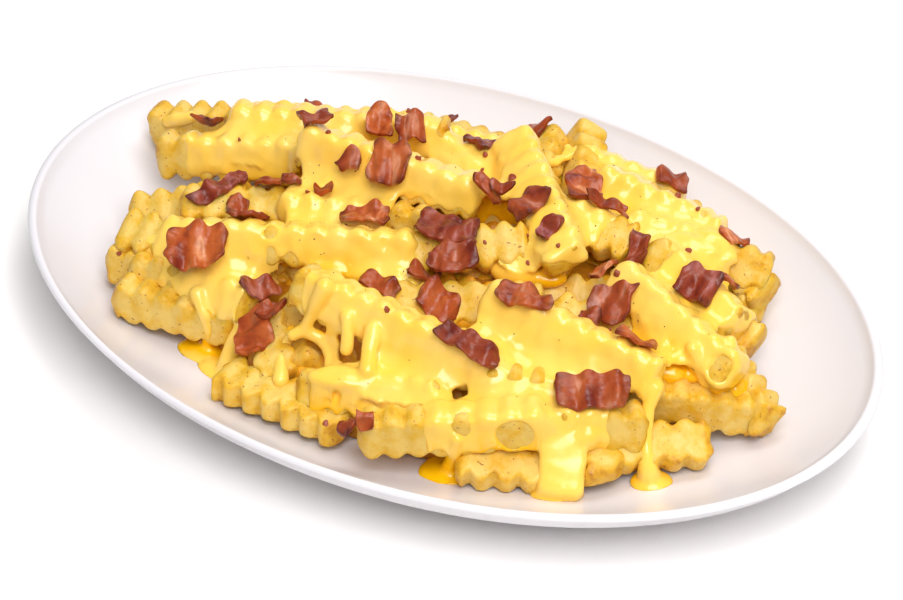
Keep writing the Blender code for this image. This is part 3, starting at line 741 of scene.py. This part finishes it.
# Runs of sauce, each a row of points from its top to its foot with the thickness of the run there.
RUNS = (
    ((-60, -62, 31, 3.0), (-55, -64, 25, 2.2), (-54, -64, 19, 1.9), (-57, -61, 10, 2.4)),
    ((-42, -61, 23, 3.0), (-43, -63, 18, 3.6), (-43, -67, 12, 3.6), (-45, -69, 6, 3.0)),
    ((-8, -56, 53, 3.6), (-10, -58, 47, 2.7), (-12, -59, 41, 2.3), (-14, -60, 35, 2.6), (-17, -63, 33, 2.4)),
    ((-14, -60, 34, 2.6), (-9, -58, 32, 2.6), (-6, -58, 29, 2.3)),
    ((-6, -58, 29, 2.3), (-3, -61, 28, 2.2), (2, -68, 27, 2.2), (6, -75, 27, 2.9)),
    ((-22, -58, 29, 2.4), (-21, -63, 26, 2.4), (-18, -69, 24, 2.4), (-14, -74, 22, 3.1)),
    ((2, -57, 45, 2.8), (4, -60, 40, 2.3), (5, -62, 36, 2.6)),
    ((12, -56, 43, 3.4), (14, -61, 39, 2.9), (17, -66, 35, 3.4)),
    ((57, -71, 28, 2.4), (55, -70, 21, 3.0), (53, -68, 15, 2.6), (49, -65, 6, 3.4)),
    ((101, -20, 37, 3.4), (102, -25, 32, 2.4), (104, -29, 26, 2.0), (106, -32, 21, 2.4), (108, -34, 15, 3.6),
     (108, -33, 10, 4.6)),
    ((103, 0, 41, 2.6), (106, 0, 36, 2.6), (109, 0, 30, 2.6), (114, 3, 26, 3.0), (117, 7, 23, 3.2)),
    ((112, 9, 42, 2.6), (114, 9, 36, 2.6), (117, 9, 30, 2.8), (118, 8, 24, 3.2)),
    ((-135, 13, 33, 2.6), (-131, 14, 35, 3.2), (-126, 16, 37, 2.8)),
)

# A wide curtain of sauce over the lower front fry, given by its left and right edge.
CURTAIN = (
    ((79, -53, 29, 1.4), (82, -56, 22, 2.4), (85, -60, 14, 3.0), (83, -58, 8, 3.8)),
    ((90, -46, 29, 1.4), (92, -50, 22, 2.4), (94, -56, 14, 3.0), (91, -54, 8, 3.8)),
)
CURTAIN_FOLDS = 6

# Puddles on the platter under the runs: the middle, the two half sizes and the turn.
PUDDLES = (
    ((-59, -62), (9.5, 8.5), 35), ((-47, -66), (9.0, 8.5), 35), ((50, -66), (10.5, 9.0), 35),
    ((87, -56), (9.5, 5.5), 35), ((109, -33), (7.5, 6.0), 35),
)


def pour_ball(name, middle, halves, turned, fine=3):
    deselect()
    bpy.ops.mesh.primitive_ico_sphere_add(subdivisions=fine, radius=1.0)
    ball = bpy.context.object
    ball.name = name
    grown = points_of(ball.data) * np.array(halves)
    basis = np.array(turned.to_3x3())
    set_points(ball.data, ((basis @ grown.T).T + np.array(middle)) * MM)
    return ball


def smooth_step(value):
    value = np.clip(value, 0.0, 1.0)
    return value * value * (3.0 - 2.0 * value)


# The coat: what clings to each fry, thin over the crests and thick in the valleys between them.
coats = []
for name, first, last, hang in COATS:
    fry = fry_shape(name, *FRIES[name])
    lowest, highest = max(0.0, first), min(1.0, last)
    span = fry["length"] * (highest - lowest)
    bar = long_bar("coat_" + name, COAT_SIDES, max(5, round(span / COAT_STEP)))
    press_fry(bar, fry, lowest, highest, ridge=SAUCE_RIDGE)
    coats.append(bar)
shake = random.Random(12)
for middle, halves, heading in POOLS:
    turned = Matrix.Rotation(math.radians(heading), 4, "Z")
    for part in range(POOL_LUMPS):
        aside = turned @ Vector([shake.uniform(-POOL_ASIDE, POOL_ASIDE) * half for half in halves])
        size = [half * shake.uniform(*POOL_SIZE) for half in halves]
        place = Vector(middle) + aside - Vector((0.0, 0.0, POOL_SINK))
        coats.append(pour_ball("pool", place, size, turned))
coat = join_pieces("sauce_coat", coats)
apply_modifier(coat, "REMESH", mode="VOXEL", voxel_size=VOXEL * MM)


def coverage(points):
    """How surely sauce lies at each point, from 0 to 1."""
    cover = np.zeros(len(points))
    edge = lumps(points, scale=9.0, seed=3.0) + 0.5 * lumps(points, scale=4.0, seed=31.0)
    for name, first, last, hang in COATS:
        start, end = [np.array(point, float) for point in FRIES[name][:2]]
        length = np.linalg.norm(end - start)
        share = (points - start) @ (end - start) / length ** 2
        axis = start + np.clip(share, 0, 1)[:, None] * (end - start)
        away = points - axis
        sideways = np.hypot(away[:, 0], away[:, 1])
        near = (sideways < COAT_ASIDE) & (np.abs(away[:, 2]) < COAT_DEEP)
        valley = np.cos(np.pi * share * half_waves(length))
        low = away[:, 2] + hang + COAT_SWAY * edge + VALLEY_RUN * valley
        if first > 0.0:
            low = np.minimum(low, (share - first) * length + END_SWAY * edge)
        if first > 0.0 or last < 1.0:
            low = np.minimum(low, (last - share) * length + END_SWAY * edge)
        cover = np.maximum(cover, np.where(near, smooth_step(low / EDGE_SOFT), 0.0))
    for middle, halves, heading in POOLS:
        basis = np.array(Matrix.Rotation(math.radians(heading), 3, "Z"))
        inner = (points - np.array(middle)) @ basis / (np.array(halves) + POOL_EDGE)
        cover = np.maximum(cover, smooth_step((1.0 + POOL_FADE - np.linalg.norm(inner, axis=1)) / POOL_FADE))
    for middle, radius in BARE:
        away = np.linalg.norm(points - np.array(middle), axis=1) + BARE_SWAY * edge
        cover = np.minimum(cover, smooth_step((away - radius) / EDGE_SOFT))
    return cover


def vertex_normals(mesh):
    flat = np.empty(len(mesh.vertices) * 3)
    mesh.vertices.foreach_get("normal", flat)
    return flat.reshape(-1, 3)


spots = points_of(coat.data) / MM
facing = vertex_normals(coat.data)
cover = coverage(spots)
thick = SAUCE_ON_SIDE + (SAUCE_ON_TOP - SAUCE_ON_SIDE) * np.clip(facing[:, 2], 0.0, 1.0)
thick *= 1.0 + 0.4 * lumps(spots, scale=13.0, seed=77.0) + 0.55 * lumps(spots, scale=4.5, seed=12.0)
moved = spots + facing * (cover * (thick + SAUCE_HIDDEN) - SAUCE_HIDDEN)[:, None]
moved[:, 2] = np.maximum(moved[:, 2], inside_height(moved[:, 0], moved[:, 1]) + LEAST_CLEAR)
set_points(coat.data, moved * MM)

# The bridges: where two coated fries lie close, the sauce spans the gap and sags a little. They are one
# sheet draped over the heap, cut away where nothing was poured, and given its thickness downward.
DROP_FROM = 120.0
GRID_STEP = 1.0
GRID_HALF = (124, 92)
BRIDGE_REACH = 7
BRIDGE_BOW = 0.085
BRIDGE_SINK = 0.6
BRIDGE_THICK = 2.4
JOIN_REACH = 6
LEAST_GAP = 0.5
COAT_MATCH = 0.2
SHEET_LAP = 2

# Gaps that stayed open, by their middle and radius on the platter.
OPEN_GAPS = (((5, -57), 8), ((30, -62), 3), ((48, -57), 4), ((97, 2), 6), ((-37, -68), 4), ((114, -4), 5))


def tree_of(piece):
    return BVHTree.FromObject(piece, bpy.context.evaluated_depsgraph_get())


def height_under(tree, x, y):
    """Where a plumb line dropped over a place first meets the piece, or None where it meets nothing."""
    place = tree.ray_cast(Vector((x, y, DROP_FROM)) * MM, Vector((0.0, 0.0, -1.0)))[0]
    return None if place is None else place.z / MM


def heights_over(piece, xs, ys):
    """How high the piece reaches above each point of the grid, or 0 where it is not."""
    tree = tree_of(piece)
    return np.array([[height_under(tree, x, y) or 0.0 for x in xs] for y in ys])


def spread(field, reach, bow=0.0):
    """The greatest value near each point of the grid, less a bow that grows with the distance."""
    best = np.full_like(field, -1e6)
    for down in range(-reach, reach + 1):
        for over in range(-reach, reach + 1):
            away = down * down + over * over
            if away <= reach * reach:
                best = np.maximum(best, np.roll(field, (down, over), axis=(0, 1)) - bow * away)
    return best


def closed(field, reach, bow=0.0):
    """The field with its narrow hollows filled."""
    return -spread(-spread(field, reach, bow), reach, bow)


grid_x = np.arange(-GRID_HALF[0], GRID_HALF[0] + 0.5, GRID_STEP)
grid_y = np.arange(-GRID_HALF[1], GRID_HALF[1] + 0.5, GRID_STEP)
coat_high = heights_over(coat, grid_x, grid_y)
food_high = np.maximum(heights_over(top_fries, grid_x, grid_y), heights_over(under_fries, grid_x, grid_y))
food_high = np.maximum(food_high, heights_over(loaf, grid_x, grid_y))
across_grid, up_grid = np.meshgrid(grid_x, grid_y)
food_high = np.maximum(food_high, inside_height(across_grid, up_grid))
coated = (coat_high > food_high - COAT_MATCH).astype(float)
top_high = np.maximum(coat_high, food_high)
bridge = closed(top_high, BRIDGE_REACH, BRIDGE_BOW) - BRIDGE_SINK
poured_over = closed(coated, JOIN_REACH) > 0.5
gap = poured_over & (bridge - top_high > LEAST_GAP)
for (gap_x, gap_y), radius in OPEN_GAPS:
    gap &= np.hypot(across_grid - gap_x, up_grid - gap_y) > radius
sheet_here = (spread(gap.astype(float), SHEET_LAP) > 0.5) & poured_over

deselect()
bpy.ops.mesh.primitive_grid_add(x_subdivisions=len(grid_x) - 1, y_subdivisions=len(grid_y) - 1, size=2.0)
sheet = bpy.context.object
sheet.name = "sauce_bridges"
flat_points = points_of(sheet.data)
columns = np.round((flat_points[:, 0] + 1.0) / 2.0 * (len(grid_x) - 1)).astype(int)
rows = np.round((flat_points[:, 1] + 1.0) / 2.0 * (len(grid_y) - 1)).astype(int)
draped = np.stack([grid_x[columns], grid_y[rows], bridge[rows, columns]], axis=1)
set_points(sheet.data, draped * MM)
sheet.data.vertices.foreach_set("select", ~sheet_here[rows, columns])
for others in (sheet.data.edges, sheet.data.polygons):
    others.foreach_set("select", np.zeros(len(others), dtype=bool))
bpy.ops.object.mode_set(mode="EDIT")
bpy.ops.mesh.select_mode(type="VERT")
bpy.ops.mesh.delete(type="VERT")
bpy.ops.object.mode_set(mode="OBJECT")
apply_modifier(sheet, "SOLIDIFY", thickness=BRIDGE_THICK * MM, offset=-1.0)

# The runs and puddles: sauce that ran down the sides of the heap and spread on the platter. All of the
# sauce is then made one body and let settle.
BEAD_STEP = 1.4
PUDDLE_LIFT = 0.4
PUDDLE_THICK = 2.6
SAUCE_WAVER = 0.4
SAUCE_SHRINK = 0.05
MOST_TRIANGLES = 195000
ROOF_REACH = 12
ROOF_BOW = 0.01
# Painted shade: from how deep under the top of the heap, and over what depth, the sauce turns a deeper
# yellow, and that yellow.
SHADE_FROM = 2.0
SHADE_OVER = 12.0
SHADE_YELLOW = (1.0, 0.53, 0.003)
CHEESE_YELLOW = ((0.3, (1.0, 0.605, 0.068)), (0.7, (1.0, 0.665, 0.135)))

poured = [coat, sheet]
left, right = np.array(CURTAIN, float)
folds = [left + (right - left) * fold / (CURTAIN_FOLDS - 1) for fold in range(CURTAIN_FOLDS)]
for row in list(RUNS) + folds:
    for upper, lower in zip(row, row[1:]):
        upper, lower = np.array(upper, float), np.array(lower, float)
        beads = max(2, math.ceil(np.linalg.norm(lower[:3] - upper[:3]) / BEAD_STEP))
        for bead in range(beads + 1):
            x, y, z, radius = upper + (lower - upper) * bead / beads
            poured.append(pour_ball("bead", (x, y, z), (radius, radius, radius), Matrix.Identity(4), 2))
for middle, halves, heading in PUDDLES:
    level = float(inside_height(*middle)) + PUDDLE_LIFT
    turned = Matrix.Rotation(math.radians(heading), 4, "Z")
    poured.append(pour_ball("puddle", (*middle, level), (*halves, PUDDLE_THICK), turned))
sauce = join_pieces("cheese_sauce", poured)
apply_modifier(sauce, "REMESH", mode="VOXEL", voxel_size=VOXEL * MM)
apply_modifier(sauce, "SMOOTH", factor=0.5, iterations=3)
settled = points_of(sauce.data) / MM
waver = SAUCE_WAVER * lumps(settled, scale=6.0, seed=55.0) - SAUCE_SHRINK
settled += vertex_normals(sauce.data) * waver[:, None]
settled[:, 2] = np.minimum(settled[:, 2], HIGHEST)
settled[:, 2] = np.maximum(settled[:, 2], inside_height(settled[:, 0], settled[:, 1]) + LEAST_CLEAR)
set_points(sauce.data, settled * MM)
triangles = len(sauce.data.polygons) * 2
if triangles > MOST_TRIANGLES:
    apply_modifier(sauce, "DECIMATE", ratio=MOST_TRIANGLES / triangles)

# How deep each point of the sauce lies under the general top of the heap. It is painted a deeper yellow
# there, as painted shade.
roof = closed(top_high, ROOF_REACH, ROOF_BOW)
settled = points_of(sauce.data) / MM
column = np.clip(np.round(settled[:, 0] + GRID_HALF[0]).astype(int), 0, len(grid_x) - 1)
row = np.clip(np.round(settled[:, 1] + GRID_HALF[1]).astype(int), 0, len(grid_y) - 1)
painted_shade = sauce.data.attributes.new("painted_shade", "FLOAT", "POINT")
painted_shade.data.foreach_set("value", smooth_step((roof[row, column] - settled[:, 2] - SHADE_FROM) / SHADE_OVER))


def cheese():
    material = plain_material("cheese_sauce", (*SHADE_YELLOW, 1.0), roughness=0.22)
    yellow = add_ramp(material, add_noise(material, scale=55.0, detail=3.0), CHEESE_YELLOW)
    # Painted shade: a deeper yellow where the sauce lies low in the heap.
    colour = add_mix(material, add_attribute(material, "painted_shade"), yellow, SHADE_YELLOW)
    set_surface(material, colour, Specular_IOR_Level=0.5, Subsurface_Weight=0.2,
                Subsurface_Radius=(1.0, 0.6, 0.12), Subsurface_Scale=0.003, Coat_Weight=0.15,
                Coat_Roughness=0.12)
    add_bump(material, add_noise(material, scale=260.0), strength=0.12, distance=0.0005)
    return material


sauce.data.materials.clear()
sauce.data.materials.append(cheese())
pick(sauce)
bpy.ops.object.shade_smooth()
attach(sauce, "root")
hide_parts("fries_heap")

# The bacon: thin rashers fried crisp and cut across into bits, dark red meat with paler bands of fat.
# Each bit lies on the sauce where it was dropped, and keeps the curl it took in the pan.
BACON_COUNT = sum(name.startswith("bacon_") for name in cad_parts)
BACON_SMOOTH = 2
CURL = 1.5
CURL_SCALE = 5.0
GRIT = 0.55
SWELL = 0.8
GRIT_SCALE = 2.4
RAGGED = 1.5
RAGGED_SCALE = 2.6
RAISED_EDGE = 0.8
RAISED_SCALE = 8.0
CRISP_FROM = 0.6
FOLD_LENGTH = 9.5
FOLD_RISE = 0.9
FOLD_PINCH = 0.10
FRIED_SHRINK = 0.09
BACON_HALF = 1.3
GAP_RANGE = (-1.0, 6.0)
BEND_SCALE = 10.0
LARGEST_RISE = 0.6
LARGEST_DROP = 2.6
LEAST_SHOWN = 1.5
LARGEST_LIFT = 2.0
RASHER_BANDS = (
    (0.28, (0.20, 0.020, 0.006)), (0.44, (0.42, 0.075, 0.013)), (0.58, (0.52, 0.125, 0.026)),
    (0.65, (0.70, 0.29, 0.13)), (0.72, (0.50, 0.12, 0.038)),
)
BAND_LENGTH = 5.4
BAND_WIDTH = 15.0
NEXT_CUT = (1.7, 0.6)
CURED_STEP = 0.37
EDGE_CHAR = 0.5
CHAR_BLACK = (0.10, 0.012, 0.004)
DARKER_MEAT = (0.52, 0.38, 0.80)


def fried_bacon():
    """Bands of meat and fat across the rasher, charred in places and more so at the edges of a bit."""
    material = plain_material("fried_bacon", (*CHAR_BLACK, 1.0), roughness=0.34)
    bands = add_noise(material, scale=1.0, detail=1.5, uv_map="rasher")
    char = add_noise(material, scale=330.0, detail=4.0)
    crisp_edge = add_math(material, "MULTIPLY_ADD", add_attribute(material, "crisp"), EDGE_CHAR, char)
    burnt = add_range(material, crisp_edge, low=0.50, high=1.05, most=0.85)
    meat = add_mix(material, burnt, add_ramp(material, bands, RASHER_BANDS), CHAR_BLACK)
    cured = add_mix(material, add_attribute(material, "cured"), meat, DARKER_MEAT, "MULTIPLY")
    set_surface(material, cured, Specular_IOR_Level=0.25, Coat_Weight=0.15, Coat_Roughness=0.15,
                Subsurface_Weight=0.15, Subsurface_Radius=(1.0, 0.3, 0.1), Subsurface_Scale=0.0015)
    add_bump(material, char, strength=0.8, distance=0.0007)
    return material


food_trees = [tree_of(piece) for piece in (sauce, top_fries)]


def top_of_food(x, y):
    """The highest food at a place, or None where there is only the platter."""
    found = [height_under(tree, x, y) for tree in food_trees]
    return max((height for height in found if height is not None), default=None)


def settle_bit(points, upper):
    """How far to let each point of a bit down, so that it bends to what lies under it."""
    plan = points[:, :2] - points[:, :2].mean(axis=0)
    food = [top_of_food(x, y) for x, y in points[:, :2]]
    lying = np.array([height is not None for height in food])
    if lying.sum() < len(points) / 2:
        return np.zeros(len(points))
    gaps = points[lying, 2] - np.array([height for height in food if height is not None]) - BACON_HALF
    gaps = np.clip(gaps, *GAP_RANGE)
    u, v = plan[:, 0] / BEND_SCALE, plan[:, 1] / BEND_SCALE
    bends = np.stack([np.ones_like(u), u, v, u * v, u * u, v * v], axis=1)
    fitted = np.linalg.lstsq(bends[lying], gaps, rcond=None)[0]
    drop = np.clip(bends @ fitted, -LARGEST_RISE, LARGEST_DROP)
    shown = (gaps + BACON_HALF - drop[lying])[upper[lying]].min()
    return drop - min(LARGEST_LIFT, max(0.0, LEAST_SHOWN - shown))


def curl_bit(bit, number, along, centre):
    """Let a bit down on the food, then fold it, shrink it and roughen it as frying does."""
    points = points_of(bit.data) / MM
    points[:, 2] -= settle_bit(points, vertex_normals(bit.data)[:, 2] > 0.5)
    out = points[:, :2] - centre[:2]
    folds = np.sin((out @ along) * 2.0 * math.pi / FOLD_LENGTH + number * 2.1)
    points[:, 2] += folds * FOLD_RISE
    points[:, :2] += out * (folds * FOLD_PINCH - FRIED_SHRINK)[:, None]
    reach = np.linalg.norm(out, axis=1, keepdims=True) + 1e-6
    outer = np.clip(reach / reach.max(), 0, 1)
    ragged = lumps(points * np.array([1, 1, 0.3]), RAGGED_SCALE, number * 7.0) * RAGGED
    points[:, :2] += out / reach * (ragged[:, None] * outer ** 3)
    plan = points * np.array([1, 1, 0.0])
    curl = lumps(plan, CURL_SCALE, number * 3.0) * CURL
    points[:, 2] += curl + lumps(plan, GRIT_SCALE, number * 5.0) * GRIT
    points[:, 2] += lumps(points, GRIT_SCALE, number * 9.0) * SWELL
    points[:, 2] += RAISED_EDGE * outer[:, 0] ** 2 * lumps(plan, RAISED_SCALE, number * 11.0)
    points[:, 2] = np.minimum(points[:, 2], HIGHEST)
    set_points(bit.data, points * MM)


def mark_bit(bit, number, along, centre):
    """Lay the rasher's bands over a bit, and mark its crisp edges and how dark it was cured."""
    shown = points_of(bit.data) / MM - centre
    strip = shown[:, :2] @ along
    over = shown[:, :2] @ np.array([-along[1], along[0]])
    rasher = bit.data.uv_layers.new(name="rasher")
    corner = np.empty(len(bit.data.loops), dtype=np.int32)
    bit.data.loops.foreach_get("vertex_index", corner)
    strip = strip[corner] / BAND_LENGTH + number * NEXT_CUT[0]
    over = over[corner] / BAND_WIDTH + number * NEXT_CUT[1]
    rasher.data.foreach_set("uv", np.stack([strip, over], axis=1).ravel())
    away = np.linalg.norm(shown[:, :2], axis=1)
    edge = np.clip((away / away.max() - CRISP_FROM) / (1.0 - CRISP_FROM), 0.0, 1.0)
    bit.data.attributes.new("crisp", "FLOAT", "POINT").data.foreach_set("value", edge)
    dark = np.full(len(shown), (number * CURED_STEP) % 1.0)
    bit.data.attributes.new("cured", "FLOAT", "POINT").data.foreach_set("value", dark)


def fry_bacon(number, finish):
    """Turn one plain bit into a ragged, curled one."""
    node = "bacon_%02d" % number
    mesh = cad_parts[node].data.copy()
    mesh.materials.clear()
    bit = bpy.data.objects.new("bacon_bit_%02d" % number, mesh)
    bpy.context.scene.collection.objects.link(bit)
    tidy_shell(bit)
    middle = points_of(bit.data).mean(axis=0)
    lying = (points_of(bit.data) - middle)[:, :2]
    along = np.linalg.eigh(lying.T @ lying)[1][:, 1]
    apply_modifier(bit, "SUBSURF", subdivision_type="SIMPLE", levels=BACON_SMOOTH,
                   render_levels=BACON_SMOOTH)
    curl_bit(bit, number, along, middle / MM)
    apply_modifier(bit, "SUBSURF", levels=1, render_levels=1)
    mark_bit(bit, number, along, middle / MM)
    bit.data.materials.append(finish)
    pick(bit)
    bpy.ops.object.shade_smooth()
    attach(bit, "root")
    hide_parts(node)


bacon_finish = fried_bacon()
for number in range(1, BACON_COUNT + 1):
    fry_bacon(number, bacon_finish)

# The crumbs and the pepper: broken ends of the fried bacon, and coarse ground black pepper. Both are
# strewn over the dish last, and lie on the sauce and the fries.
CRUMBS = 34
CRUMB_SIZE = (0.5, 1.3)
PEPPER = 130
PEPPER_SIZE = (0.14, 0.30)
PLACED_CRUMBS = ((104, 22), (44, 7), (-30, -16), (11, -82), (16, -83))
STREWN = (58, 40)
LUMP_SHAPE = (0.7, 1.2)
LUMP_RAISED = 0.25
LUMP_ROUGH = 0.5
CRUMB_RED = (0.30, 0.055, 0.02, 1.0)
PEPPER_BROWN = (0.09, 0.045, 0.02, 1.0)


def scatter(name, count, sizes, fine, placed, seed, finish):
    """Small lumps strewn over the food as one piece."""
    strew = random.Random(seed)
    lumps_made = []
    spots_left = list(placed)
    while len(lumps_made) < count:
        x, y = spots_left.pop() if spots_left else [strew.gauss(0, wide) for wide in STREWN]
        high = top_of_food(x, y)
        if high is None:
            continue
        size = strew.uniform(*sizes)
        halves = [size * strew.uniform(*LUMP_SHAPE) for axis in range(3)]
        turned = Matrix.Rotation(strew.uniform(0, math.pi), 4, "Z")
        tipped = turned @ Matrix.Rotation(strew.uniform(-1, 1), 4, "X")
        lumps_made.append(pour_ball(name, (x, y, high + size * LUMP_RAISED), halves, tipped, fine))
    strewn = join_pieces(name, lumps_made)
    shaped = points_of(strewn.data) / MM
    rough = np.stack([lumps(shaped, sizes[1], seed + axis) for axis in range(3)], axis=1)
    shaped += rough * sizes[1] * LUMP_ROUGH
    shaped[:, 2] = np.minimum(shaped[:, 2], HIGHEST)
    set_points(strewn.data, shaped * MM)
    strewn.data.materials.append(finish)
    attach(strewn, "root")
    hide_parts("fries_heap")


crumb_finish = plain_material("bacon_crumb", CRUMB_RED, roughness=0.45)
pepper_finish = plain_material("ground_pepper", PEPPER_BROWN, roughness=0.6)
scatter("bacon_crumbs", CRUMBS, CRUMB_SIZE, fine=2, placed=PLACED_CRUMBS, seed=5, finish=crumb_finish)
scatter("pepper_specks", PEPPER, PEPPER_SIZE, fine=1, placed=(), seed=8, finish=pepper_finish)
